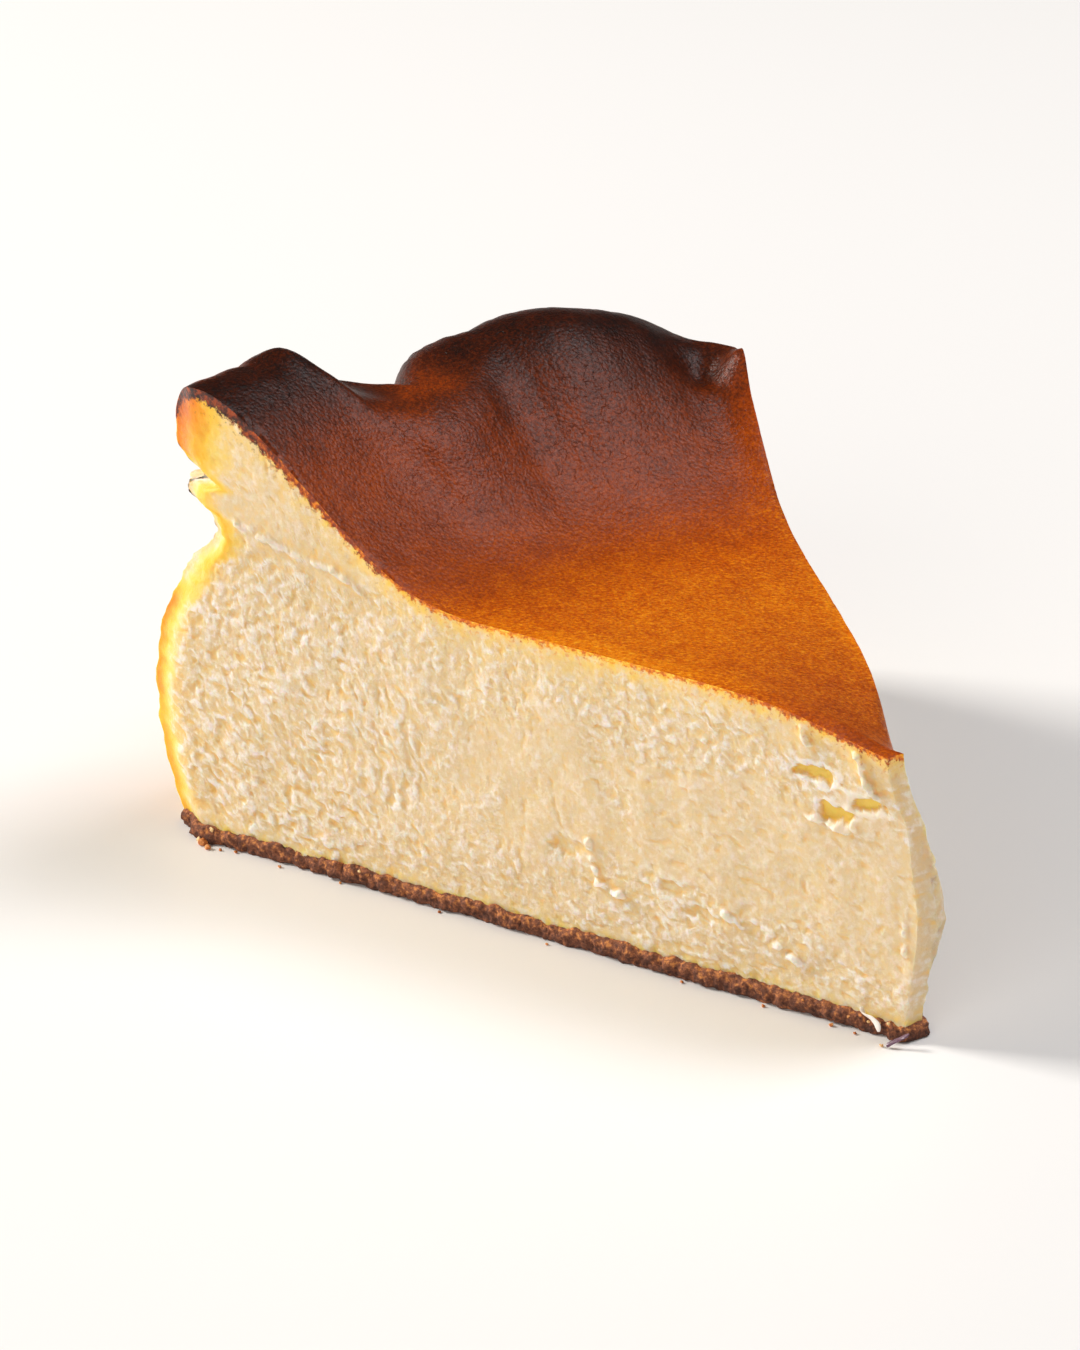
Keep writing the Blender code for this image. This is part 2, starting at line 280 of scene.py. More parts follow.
def top_height(angle, radius):
    angle, radius = np.broadcast_arrays(np.asarray(angle, float), np.asarray(radius, float))
    inset = read_curve(CREST_INSETS, angle)
    over = np.clip(1 - (rim_radius(angle) - radius) / inset, 0, 1)
    middle, crest = middle_height(angle, radius), read_curve(CREST_HEIGHTS, angle)
    lead = crest + (CREST_HEIGHTS[0][1] - crest) * ease((LEAD_END - angle) / LEAD_FADE)
    height = middle + (lead - middle) * climb_share(angle, radius)
    height = least(height, crest, np.clip(lead - crest, 0.05, 4.0))
    height = height - CREST_DROP * (1 - np.sqrt(1 - over * over))
    here = direction(angle) * radius[..., None]
    for at, out, rise, half in CREST_BUMPS:
        height = height + rise * bell(np.linalg.norm(here - direction(at) * out, axis=-1) / half)
    return height


def near_offset(share):
    share = np.asarray(share, float)
    return NEAR_STANDS_OUT * ease(CAKE_RADIUS * np.minimum(share / TIP_CORNER, (1 - share) / NEAR_CORNER))


def far_offset(share, level):
    along = share * CAKE_RADIUS
    swell = FAR_BULGE * bell((level - 0.44) / 0.27) * (0.35 + 0.65 * bell(along / FAR_BULGE_REACH))
    drawn_in = FAR_TOP_INSET * ease((level - 0.6) / 0.4) * bell(along / FAR_INSET_REACH)
    return (swell - drawn_in) * ease((1 - share) * 12)


def cut_start(side, level):
    """How far from the axis a cut begins at a level."""
    drawn_in = np.clip(-far_offset(0.0 * level, level), 0, None)
    turn = math.radians(SLICE_ANGLE)
    if side == "far":
        return TIP_START + drawn_in / math.tan(turn)
    return drawn_in / math.sin(turn) - NEAR_REACH * bell((level - 0.4) / 0.28)


def place_cut(side, share, level):
    """(points, distance from the axis, height of the skin above) on the near or the far cut."""
    angle = 0.0 if side == "near" else SLICE_ANGLE
    start = cut_start(side, level)
    top = top_height(angle, start + share * (rim_radius(angle) - start))
    height = CUSTARD_FOOT + level * (top - CUSTARD_FOOT)
    reach = wall_radius(angle, np.minimum(height, wall_top(angle)), ease((share - 0.86) / 0.14))
    along = start + share * (reach - start)
    if side == "near":
        stands_out = NEAR_OUT * near_offset(share)[:, None]
    else:
        stands_out = FAR_OUT * far_offset(share, level)[:, None]
    return placed(angle, along, height) + stands_out, along, top


# The relief on the two cuts, in each cut's own plane: distance from the axis, and height

Cut = namedtuple("Cut", "side angle seed step levels smooth combs hollows lips")

NEAR_CUT = Cut(
    side="near", angle=0.0, seed=1, step=NEAR_STEP, levels=NEAR_LEVELS,
    # Where the knife slid and left the custard smooth: (distance, height, half length, half height)
    smooth=((47.0, 19.5, 12.0, 10.0), (21.0, 19.0, 20.0, 8.5), (5.0, 17.0, 9.0, 10.5)),
    # Where curds were dragged: (distance, height, half length, half height, lean, grain, stretch)
    combs=((84.0, 31.0, 15.0, 9.0, 24, 1.0, 2.2), (68.0, 18.0, 9.0, 13.0, 108, 1.1, 2.4),
           (50.0, 19.0, 8.0, 20.0, 93, 1.0, 3.6)),
    # Torn hollows: (distance, height, half length, half height, depth)
    hollows=((12.2, 29.9, 3.2, 0.9, 0.8), (5.8, 27.5, 2.4, 0.9, 0.8), (10.0, 25.4, 2.2, 1.3, 0.8),
             (31.0, 10.9, 2.0, 0.8, 0.3), (27.0, 8.7, 2.6, 0.7, 0.3), (45.3, 12.3, 2.4, 1.4, 0.35)),
    # Raised lips and curls: (distance, height) at each end, half width, rise
    lips=((89.8, 42.0, 84.6, 40.7, 0.5, 0.7), (84.6, 40.7, 80.2, 39.5, 0.45, 0.6),
          (80.2, 39.5, 76.4, 39.2, 0.45, 0.5), (76.4, 39.2, 73.0, 37.6, 0.5, 0.7),
          (14.0, 35.0, 13.2, 33.6, 0.7, 1.1), (7.4, 34.0, 6.4, 32.2, 0.6, 1.1),
          (6.6, 31.8, 4.4, 28.8, 0.5, 0.9), (13.2, 24.4, 8.2, 23.9, 0.5, 0.8),
          (8.0, 26.4, 7.4, 24.4, 0.45, 0.8), (42.1, 13.8, 41.2, 10.4, 0.5, 1.1),
          (40.9, 9.0, 37.9, 8.3, 0.5, 0.9), (1.1, 15.5, 0.9, 10.5, 0.35, 0.7),
          (24.0, 9.6, 21.0, 8.0, 0.5, 0.7), (17.0, 7.4, 14.6, 6.0, 0.5, 0.7)))
FAR_CUT = Cut(
    side="far", angle=SLICE_ANGLE, seed=60, step=FAR_STEP, levels=OTHER_LEVELS,
    smooth=((24.0, 17.0, 15.0, 11.0), (46.0, 22.0, 13.0, 8.0), (66.0, 15.0, 9.0, 7.0)),
    combs=((82.0, 26.0, 12.0, 12.0, 20, 1.4, 2.2), (56.0, 20.0, 9.0, 20.0, 88, 1.4, 3.2)),
    hollows=((21.0, 24.0, 2.6, 0.9, 0.5), (38.0, 13.0, 2.2, 0.9, 0.5), (53.0, 26.5, 2.8, 0.7, 0.4),
             (30.0, 8.0, 2.8, 0.8, 0.4)),
    lips=((30.0, 22.0, 27.0, 18.0, 0.6, 0.8), (58.0, 24.0, 53.0, 22.0, 0.6, 0.7),
          (75.0, 30.0, 70.0, 26.0, 0.5, 0.7), (12.0, 28.0, 10.0, 24.0, 0.5, 0.8)))


def near_calm_line(along):
    """The height above which the near cut's outer part stays smooth under the rim."""
    return 37.6 + 0.2 * (along - 73)


def hollow_depth(hollows, along, height, ragged):
    deepest = np.zeros(len(along))
    for a, h, long, high, depth in hollows:
        reach = np.hypot((along - a) / long, (height - h) / high) + 0.4 * ragged
        deepest = np.maximum(deepest, depth * ease((1.15 - reach) / 0.45))
    return deepest


def lip_rise(lips, along, height, ragged):
    highest = np.zeros(len(along))
    uneven = np.clip(0.55 + 1.0 * ragged, 0, 1.3)
    for a0, h0, a1, h1, half, rise in lips:
        run = np.array((a1 - a0, h1 - h0))
        share = np.clip(((along - a0) * run[0] + (height - h0) * run[1]) / (run @ run), 0, 1)
        off = np.hypot(along - a0 - share * run[0], height - h0 - share * run[1])
        highest = np.maximum(highest, rise * bell(off / (0.8 * half)) * uneven)
    return highest


def within(areas, along, height):
    """1 at the middle of the nearest of some areas, 0 at its edge, and less outside."""
    return np.max([1 - ((along - a) / long) ** 2 - ((height - h) / high) ** 2
                   for a, h, long, high, *_ in areas], axis=0)


def combed(place, lean, stretch):
    """Places turned and squeezed, so that noise there runs along a lean: 0 level, 90 upright."""
    turn = math.radians(lean)
    along = (place[:, 1] * math.sin(turn) - place[:, 0] * math.cos(turn)) / stretch
    across = place[:, 0] * math.sin(turn) + place[:, 1] * math.cos(turn)
    return np.stack([along, across, place[:, 2] + lean], axis=1)


def curds(place, size, seed):
    """Rounded curds with smaller ones among them, and creases between, about -0.5 to 0.6."""
    packed = 0.6 * (grains(place, size, seed) - 0.45) + 0.4 * (grains(place, 0.55 * size, seed + 3) - 0.45)
    return packed + 0.20 * layered(place, 1.3 * size, seed + 6, 2, fold=True)


def tip_relief(points, below):
    """How far the blunt tip's torn custard stands out of its plane, less by the skin and the foot."""
    calm = ease(below / 2.0) * ease((points[:, 2] - CUSTARD_FOOT) / 2.0)
    ragged = 0.45 * layered(points, 3.0, 95) + 0.25 * noise(points, 0.9, 98)
    return calm * (ragged + 0.4 * (grains(points, 1.2, 97) - 0.4) + 0.25)


def cut_relief(cut, along, height, skin, to_wall):
    """How far a cut's points move out, along and up, and how torn and how hollow each place is."""
    seed = cut.seed
    place = np.stack([along, height, np.full(len(along), 7.0 * seed)], axis=1)
    bend = np.stack([noise(place, 6, seed + 2), noise(place, 6, seed + 3), 0 * along], axis=1)
    bend += 0.4 * np.stack([noise(place, 1.8, seed + 4), noise(place, 1.8, seed + 5), 0 * along], axis=1)
    bent = place + bend
    ragged = layered(place, 1.6, seed + 6)
    below, above = skin - height, height - CUSTARD_FOOT

    calm = within(cut.smooth, along, height)
    calm = np.maximum(calm, 0.9 - below / 4.0)
    calm = np.maximum(calm, 0.8 - above / 2.6)
    calm = np.maximum(calm, 0.8 - to_wall / 4.0)
    if cut.side == "near":
        calm = np.maximum(calm, np.where(along > 68, (height - near_calm_line(along)) / 2.5, -9))
    calm = calm + 0.55 * layered(place, 5.0, seed + 7)
    torn = ease((0.35 - calm) / 0.5)

    lumps = curds(bent, 1.15, seed + 8)
    pits = noise(bent * (0.75, 1.25, 1), 1.2, seed + 10)
    for number, (a, h, long, high, lean, grain, stretch) in enumerate(cut.combs):
        share = bell((along - a) / long) * bell((height - h) / high)
        dragged = combed(bent, lean, stretch)
        lumps = lumps + share * (curds(dragged, grain, seed + 40 + 10 * number) - lumps)
        pits = pits + share * (noise(dragged, 0.8 * grain, seed + 24 + number) - pits)
    plates = layered(bent * (0.75, 1.3, 1), 3.2, seed + 30)
    flakes = sum(ease((plates - step) / 0.09) for step in (-0.3, 0.05, 0.4)) - 1.5
    flaky = ease(1.3 - above / 10) * (0.45 + 0.55 * ease((62 - along) / 12))

    depth = hollow_depth(cut.hollows, along, height, ragged)
    strong = (0.56 + 0.36 * ease((along - 62) / 16)) * (1 - 0.7 * ease(depth))
    out = torn * strong * (0.19 * lumps - 0.20 * ease((pits - 0.12) / 0.35) - 0.04)
    out += (1 - torn) * (0.05 * lumps - 0.12 * ease((pits - 0.42) / 0.2))
    out += 0.04 * flakes * flaky * torn
    out += (0.30 * noise(place, 14, seed + 13) + 0.16 * noise(place, 5, seed + 14)) * ease(0.2 + above / 5)
    out += (0.04 + 0.04 * torn) * noise(place, 0.6, seed + 15)
    edge = 0.25 + 0.75 * ease(np.minimum(below, to_wall) / 2.5)
    out = (out - depth) * edge
    free = ease(np.minimum(below, to_wall) / 1.2)
    out += lip_rise(cut.lips, along, height, ragged) * free

    slide = (0.08 + 0.26 * torn) * edge * free
    slide_along = slide * noise(place, 1.1, seed + 16)
    slide_up = slide * noise(place, 1.1, seed + 17) * ease(above / 1.0)
    return out, slide_along, slide_up, torn, depth


def evened(grid, times):
    """A grid of values, each averaged with its neighbours some number of times."""
    for _ in range(times):
        wide = np.pad(grid, 1, mode="edge")
        grid = (2 * grid + wide[:-2, 1:-1] + wide[2:, 1:-1] + wide[1:-1, :-2] + wide[1:-1, 2:]) / 6
    return grid


# How browned each place is: 0 is cream, 0.5 amber, 1 almost black

TOP_BROWNING = ((0, 0.56), (12, 0.55), (25, 0.51), (38, 0.485), (50, 0.51), (60, 0.57), (70, 0.67),
                (78, 0.74), (84, 0.83), (88, 0.92), (92, 0.95), (100, 0.95))
# The skin's edge on a cut: how thick inside a distance, how much more by the rim, and over what reach
RIND_THICK, RIND_MORE, RIND_FROM, RIND_REACH = 0.5, 1.0, 62.0, 30.0
NO_RIND = -9.0


def top_burn(angle, radius):
    """How browned the skin is: paler by the near cut's rim and along the far cut, and in the first paper fold
    partly painted rim light.
    """
    burn = read_curve(TOP_BROWNING, radius)
    burn = burn - 0.09 * ease((17 - angle) / 8) * bell((radius - 81) / 7)
    # Paler in the first paper fold by the rim: partly the skin's own colour, partly painted rim light from
    # behind.
    burn = burn - 0.16 * bell((angle - 17.5) / 3.5) * ease((radius - 82) / 5)
    to_near, to_far = radius * np.sin(np.radians(angle)), radius * np.sin(np.radians(SLICE_ANGLE - angle))
    burn = burn - 0.06 * ease((radius - 58) / 8) * bell(to_far / 6) - 0.04 * bell(to_far / 1.5)
    burn = burn - 0.05 * bell(to_near / 1.0) * ease((70 - radius) / 10)
    return burn + 0.12 * bell(to_near / 0.8) * bell(radius / 20)


def wall_burn(angle, height):
    """How browned the wall is: dark at the rim, golden lower down, paler in the folds and at the foot, and a
    lighter gold by the near corner that is painted glow.
    """
    streak = wall_place(angle, height, 0.15)
    mottle = 0.5 * layered(wall_place(angle, height, 0.6), 9, 41) + 0.6 * layered(streak, 4, 42)
    fold = sum(crease((angle - at) / half) for at, half, _, _ in PAPER_FOLDS[1:])
    from_top = wall_top(angle) - height + 5 * noise(streak, 6, 43)
    burn = 0.42 + 0.50 * bell(np.clip(from_top + 1, 0, None) / 9)
    burn = burn + 0.11 * mottle - 0.08 * fold
    burn = burn - 0.10 * ease(1 - height / 12)
    corner = ease(1.3 - angle / 9)
    burn = burn + corner * (0.44 + 0.4 * ease((height - 54) / 3) - burn) * ease((height - 46) / 3)
    # Painted glow: below about 46 mm, by the near corner, the wall is blended to a lighter gold, standing in
    # for light shining through it.
    golden = 0.35 - 0.15 * ease((27 - height) / 17) + 0.06 * mottle
    burn = burn + ease(1.2 - angle / 7) * (golden - burn) * ease((46 - height) / 3)
    return np.clip(burn, 0.1, 1) * (1 - bared(height, angle))


def cut_burn(cut, along, height, skin, to_wall):
    """How browned a cut is under its skin: the toasted band, the golden edge by the wall, and a painted
    yellow glow in the torn corner.
    """
    place = np.stack([along, height, np.full(len(along), 3.0 + cut.seed)], axis=1)
    ragged = layered(place, 1.3, 71)
    below = np.clip(skin - height, 0, None)
    toasted = (0.16 + 0.10 * ragged) * np.exp(-below / (1.3 + 0.012 * along))
    crumbed = (0.09 + 0.12 * noise(place, 0.9, 74)) * np.exp(-np.clip(height - 2.0, 0, None) / 0.8)
    toasted = np.maximum(toasted, crumbed)

    inward = np.clip(to_wall + 0.5 * ragged, 0, None)
    patchy = ease(0.5 + 1.6 * noise(place, 5.0, 73) + 0.5 * bell((height - 25) / 9))
    rim = ease((height - 46) / 4)
    golden = 0.23 + 0.07 * patchy - 0.11 * ease((27 - height) / 17)
    edge = (golden * bell(inward / 2.6) + 0.09 * np.exp(-inward / 3.5)) * (1 - rim)
    torn = bared(height)
    # Painted glow: in the torn corner, a yellow band about 3 mm in from the wall stands in for light shining
    # through the thin torn custard.
    edge = edge * (1 - torn) + 0.2 * torn * (1 - rim) * bell((inward - 3.2) / 1.8)
    edge = edge + rim * (0.40 + 0.12 * ease((height - 50) / 5)) * bell(inward / 6.5)
    edge = edge + 0.25 * bell((height - 56.0) / 1.3) * bell(inward / 2.5)
    return np.where(below < 0.01, top_burn(cut.angle, along), np.maximum(toasted, edge))


def rind_depth(along, height, skin):
    """How far inside the skin's edge each place on a cut is: over 0 in the rind, under 0 in the custard."""
    return RIND_THICK + RIND_MORE * ease((along - RIND_FROM) / RIND_REACH) - (skin - height)


# Meshes

def even_shares(cut):
    """Shares of the radius along a cut: even from the tip to the crest, then closing up over the roll."""
    start = float(cut_start(cut.side, np.array([1.0]))[0])
    rim, inset = float(rim_radius(cut.angle)), float(read_curve(CREST_INSETS, cut.angle))
    crest = (rim - inset - start) / (rim - start)
    count = round(crest * CAKE_RADIUS / cut.step)
    flat = [crest * i / count for i in range(count + 1)]
    turns = [math.radians(90) * (1 - k / ROLL_ROWS) for k in range(1, ROLL_ROWS + 1)]
    return flat, [(rim - inset * (1 - math.cos(turn)) - start) / (rim - start) for turn in turns]


def zip_columns(left, right):
    """Triangles between two columns of vertices that are divided differently."""
    left_at, right_at = np.linspace(0, 1, len(left)), np.linspace(0, 1, len(right))
    faces, i, j = [], 0, 0
    while i < len(left) - 1 or j < len(right) - 1:
        if j == len(right) - 1 or (i < len(left) - 1 and left_at[i + 1] <= right_at[j + 1]):
            faces.append((left[i], right[j], left[i + 1]))
            i += 1
        else:
            faces.append((left[i], right[j], right[j + 1]))
            j += 1
    return faces


def grid_faces(columns):
    return [(a[i], b[i], b[i + 1], a[i + 1])
            for a, b in zip(columns, columns[1:]) for i in range(len(a) - 1)]


def inner_points(loop, step):
    """Plan points in even rows inside a closed plan loop, clear of its edge."""
    low, high = loop.min(axis=0), loop.max(axis=0)
    ends = np.roll(loop, -1, axis=0)
    run = ends - loop
    found = []
    for number, x in enumerate(np.arange(low[0], high[0], step * 0.87)):
        y = np.arange(low[1] + step * 0.5 * (number % 2), high[1], step)
        points = np.stack([np.full(len(y), x), y], axis=1)
        offset = points[:, None] - loop[None]
        share = np.einsum("ijk,jk->ij", offset, run) / np.maximum((run ** 2).sum(axis=1), 1e-9)
        away = np.linalg.norm(offset - np.clip(share, 0, 1)[..., None] * run, axis=2).min(axis=1)
        spans = (loop[:, 1] > y[:, None]) != (ends[:, 1] > y[:, None])
        rise = np.where(run[:, 1] == 0, 1, run[:, 1])
        crossing = loop[:, 0] + (y[:, None] - loop[:, 1]) * run[:, 0] / rise
        inside = (spans & (x < crossing)).sum(axis=1) % 2 == 1
        found.append(points[inside & (away > 0.45 * step)])
    return np.concatenate(found)


def cap_faces(loop, inside):
    plan = [Vector(p) for p in np.concatenate([loop, inside])]
    edges = [(i, (i + 1) % len(loop)) for i in range(len(loop))]
    _, _, faces, sources, _, _ = delaunay_2d_cdt(plan, edges, [], 1, 1e-7)
    return [[sources[i][0] for i in face] for face in faces]


def place_mesh(name, points, faces, materials, face_slots=None, values=None):
    """Makes a smooth mesh piece in the frame's metres, with a value for each vertex under each name."""
    mesh = bpy.data.meshes.new(name)
    shift = np.array((*AXIS_FROM_ORIGIN, 0))
    mesh.from_pydata(((np.asarray(points) + shift) * MM).tolist(), [], faces)
    for material in materials:
        mesh.materials.append(material)
    if face_slots is not None:
        mesh.polygons.foreach_set("material_index", np.asarray(face_slots, np.int32))
    for label, value in (values or {}).items():
        mesh.attributes.new(label, "FLOAT", "POINT").data.foreach_set("value", np.asarray(value, np.float32))
    work = bmesh.new()
    work.from_mesh(mesh)
    bmesh.ops.recalc_face_normals(work, faces=work.faces)
    work.to_mesh(mesh)
    work.free()
    mesh.shade_smooth()
    mesh.set_sharp_from_angle(angle=math.radians(SHARP_ANGLE))
    piece = bpy.data.objects.new(name, mesh)
    bpy.context.scene.collection.objects.link(piece)
    return piece


class Shell:
    """Collects points, with values for the materials, and faces with their material."""

    def __init__(self):
        self.points, self.faces, self.slots, self.count = [], [], [], 0
        self.values = {"burn": [], "torn": [], "deep": [], "rind": [], "skin_burn": []}

    def add(self, points, burn, torn=0.0, deep=0.0, rind=NO_RIND, skin_burn=0.0):
        """Adds points and gives back their numbers."""
        number = len(points)
        self.points.append(points)
        for kept, value in zip(self.values.values(), (burn, torn, deep, rind, skin_burn)):
            kept.append(np.broadcast_to(value, number))
        self.count += number
        return list(range(self.count - number, self.count))

    def cover(self, faces, slot):
        self.faces += faces
        self.slots += [slot] * len(faces)

    def all_points(self):
        return np.concatenate(self.points)


def cut_patch(shell, cut):
    """Adds a cut's grid, with its relief. Gives its columns, and how many of them come before the roll."""
    flat, roll = even_shares(cut)
    shares = np.array(flat + roll)
    size = len(shares), cut.levels + 1
    share, level = [a.ravel() for a in np.meshgrid(shares, np.linspace(0, 1, size[1]), indexing="ij")]
    points, along, skin = place_cut(cut.side, share, level)
    height = points[:, 2]
    to_wall = np.clip(wall_radius(cut.angle, height) - along, 0, None)
    out, slide_along, slide_up, torn, hollow = cut_relief(cut, along, height, skin, to_wall)
    normal, run = (NEAR_OUT, NEAR) if cut.side == "near" else (FAR_OUT, FAR)
    calm_tip = ease(share * CAKE_RADIUS / 2.5)[:, None]
    points = points + normal * out[:, None] * (0.3 + 0.7 * calm_tip)
    points = points + (run * slide_along[:, None] + UP * slide_up[:, None]) * calm_tip
    relief = out.reshape(size)
    # deep: over 0 in pits and under 0 on raised curds, with the torn hollows pushed near 1; the custard look
    # turns it into a painted yellow glow in pits and hollows and a painted white highlight on the curds.
    deep = (evened(relief, round(EVEN_AREA / cut.step ** 2)) - relief).ravel() / 0.3
    deep = np.clip(np.clip(deep, -1, 0.8) + 2.4 * np.clip(hollow - 0.35, 0, None), -1, 1)
    burn = cut_burn(cut, along, height, skin, to_wall)
    skin_burn = top_burn(cut.angle, along)
    numbers = shell.add(points, burn, torn, deep, rind_depth(along, height, skin), skin_burn)
    columns = [list(column) for column in np.reshape(numbers, size)]
    faces = grid_faces(columns)
    shell.cover(faces if cut.side == "near" else [face[::-1] for face in faces], 0)
    return columns, len(flat)


def wall_relief(angle, height):
    """Wrinkles that run down the wall, and the fine grain of its skin."""
    grain = wall_place(angle, height)
    wrinkle = 0.45 * layered(wall_place(angle, height, 0.28), 5.5, 44) + 0.10 * layered(grain, 2.0, 45)
    return wrinkle + 0.12 * noise(grain, 0.9, 46)


def top_relief(angle, radius):
    """Broad waves and a fine leathery grain on the skin."""
    points = direction(angle) * radius[:, None]
    dark = ease((radius - 60) / 20)
    grain = layered(points, 2.6, 52)
    return 0.2 * noise(points, 14, 51) + 0.06 * noise(points, 5, 55) + (0.02 + 0.02 * dark) * grain


def make_custard(materials):
    shell = Shell()
    near, near_flat = cut_patch(shell, NEAR_CUT)
    far, far_flat = cut_patch(shell, FAR_CUT)

    count = round(math.radians(SLICE_ANGLE) * CAKE_RADIUS / WALL_STEP)
    angles = np.sort(np.concatenate([SLICE_ANGLE * np.arange(1, count) / count, TORN_COLUMNS]))
    levels = np.linspace(0, 1, NEAR_LEVELS + 1)
    size = len(angles), len(levels)
    angle, level = [a.ravel() for a in np.meshgrid(angles, levels, indexing="ij")]
    height = CUSTARD_FOOT + level * (wall_top(angle) - CUSTARD_FOOT)
    torn = bared(height, angle)
    ragged = 0.4 * layered(wall_place(angle, height), 1.6, 47)
    relief = (1 - torn) * wall_relief(angle, height) + torn * ragged
    points = placed(angle, wall_radius(angle, height) + off_corners(angle) * relief, height)
    numbers = np.array(shell.add(points, wall_burn(angle, height), torn)).reshape(size)
    wall = [list(column) for column in numbers]
    bare = {number for number, share in zip(numbers.ravel(), torn) if share > 0.5}
    faces = zip_columns(near[-1], wall[0]) + grid_faces(wall)
    for slot in (0, 1):
        shell.cover([face for face in faces if (slot == 0) == bool(bare.intersection(face))], slot)
    shell.cover(zip_columns(wall[-1], far[-1]), 1)

    # The roll from the wall's top to the crest, between the two cuts' own top edges
    turns = math.radians(90) * np.arange(1, ROLL_ROWS + 1) / ROLL_ROWS
    angle, turn = [a.ravel() for a in np.meshgrid(angles, turns, indexing="ij")]
    radius = rim_radius(angle) - read_curve(CREST_INSETS, angle) * (1 - np.cos(turn))
    rim_height = wall_top(angle)
    sideways = off_corners(angle) * np.cos(turn) * wall_relief(angle, rim_height)
    lift = off_corners(angle) * np.sin(turn) * top_relief(angle, radius)
    points = placed(angle, radius, top_height(angle, radius)) + placed(angle, sideways, lift)
    share_up = turn / math.radians(90)
    burn = (1 - share_up) * wall_burn(angle, rim_height) + share_up * top_burn(angle, radius)
    numbers = np.array(shell.add(points, burn)).reshape(len(angles), ROLL_ROWS)
    roll = [[column[-1]] + list(row) for column, row in zip(wall, numbers)]
    near_roll = [column[-1] for column in near[near_flat - 1:]][::-1]
    far_roll = [column[-1] for column in far[far_flat - 1:]][::-1]
    shell.cover(grid_faces([near_roll] + roll + [far_roll]), 1)

    # The blunt tip, between the two cuts
    so_far = shell.all_points()
    tip_levels = np.linspace(0, 1, OTHER_LEVELS + 1)
    near_end = np.stack([np.interp(tip_levels, levels, so_far[near[0], axis]) for axis in range(3)], axis=1)
    tip = []
    for number in range(1, TIP_COLUMNS):
        share = number / TIP_COLUMNS
        points = near_end * (1 - share) + so_far[far[0]] * share
        below = points[-1, 2] - points[:, 2]
        rough = tip_relief(points, below) * math.sin(math.pi * share) ** 0.5
        points = points - direction(SLICE_ANGLE / 2) * rough[:, None]
        skin_burn = top_burn(0.0, np.zeros(len(points)))
        burn = np.where(below < 0.01, skin_burn, 0.16 * np.exp(-below / 1.3))
        tip.append(shell.add(points, burn, 0.8, 0.0, RIND_THICK - below, skin_burn))
    shell.cover(zip_columns(near[0], tip[0]) + grid_faces(tip + [far[0]]), 0)

    # The rest of the top
    loop = [column[-1] for column in near[:near_flat] + roll + far[:far_flat][::-1] + tip[::-1]]
    plan = shell.all_points()[loop, :2]
    inside = inner_points(plan, TOP_STEP)
    points = np.concatenate([inside, np.zeros((len(inside), 1))], axis=1)
    angle, radius = angle_of(points), np.linalg.norm(inside, axis=1)
    points[:, 2] = top_height(angle, radius) + top_relief(angle, radius)
    sheet = loop + shell.add(points, top_burn(angle, radius))
    shell.cover([[sheet[i] for i in face] for face in cap_faces(plan, inside)], 1)

    # The underside
    ring = [column[0] for column in near + wall + far[::-1] + tip[::-1]]
    plan = shell.all_points()[ring, :2]
    inside = inner_points(plan, UNDERSIDE_STEP)
    points = np.concatenate([inside, np.full((len(inside), 1), CUSTARD_FOOT)], axis=1)
    sheet = ring + shell.add(points, 0.15)
    shell.cover([[sheet[i] for i in face[::-1]] for face in cap_faces(plan, inside)], 0)

    values = {name: np.concatenate(kept) for name, kept in shell.values.items()}
    return place_mesh("cheesecake_custard", shell.all_points(), shell.faces, materials, shell.slots, values)


def make_base(material):
    """The crumb base: a ragged edge of packed crumbs that stands a little proud of the custard's foot."""
    shares = np.arange(0, 1.0001, BASE_STEP / CAKE_RADIUS)
    near = NEAR * (shares * wall_radius(0.0, BASE_FOOT))[:, None] + NEAR_OUT * near_offset(shares)[:, None]
    angles = np.arange(0.25, SLICE_ANGLE, math.degrees(BASE_STEP / CAKE_RADIUS))
    wall = direction(angles) * wall_radius(angles, BASE_FOOT)[:, None]
    reach = TIP_START + shares[::-1] * (float(wall_radius(SLICE_ANGLE, BASE_FOOT)) - TIP_START)
    far = FAR * reach[:, None]
    ring = np.concatenate([near, wall, far])
    run = np.roll(ring, -1, axis=0) - np.roll(ring, 1, axis=0)
    outward = np.stack([run[:, 1], -run[:, 0], 0 * run[:, 0]], axis=1)
    outward /= np.linalg.norm(outward, axis=1)[:, None]
    if np.sum(outward * (ring - ring.mean(axis=0))) < 0:
        outward = -outward

    thick = BASE_THICK + 0.3 * noise(ring, 5.0, 81) + 0.3 * noise(ring, 1.4, 82)
    thick[[0, 1, -1, -2]] = 2.0
    proud = BASE_PROUD + 0.3 * noise(ring, 6.0, 87) + 0.2 * noise(ring, 1.7, 88)
    rows = []
    for level, pull in BASE_PROFILE:
        points = ring + UP * (level * thick)[:, None]
        crumbs = 0.4 * grains(points, 1.4, 83) + 0.45 * grains(points, 0.8, 86) - 0.45
        points = points + outward * (proud + crumbs - pull)[:, None]
        if 0 < level < 1:
            points[:, 2] = np.clip(points[:, 2] + 0.15 * noise(points, 0.7, 89), ON_FLOOR, None)
        rows.append(points)
    inner = ring - outward * 2.5
    inner[:, 2] = CUSTARD_FOOT + 0.1
    points = np.concatenate(rows + [inner])
    size = len(ring)
    faces = [(low + i, low + (i + 1) % size, low + size + (i + 1) % size, low + size + i)
             for low in range(0, len(rows) * size, size) for i in range(size)]
    faces.append([len(rows) * size + i for i in range(size)])
    faces.append([i for i in reversed(range(size))])
    levels = np.repeat([level for level, _ in BASE_PROFILE] + [1.0], size)
    return place_mesh("crumb_base_piece", points, faces, [material], values={"level": levels})


# The loose bits: all the points lie in the same millimetres as the slice

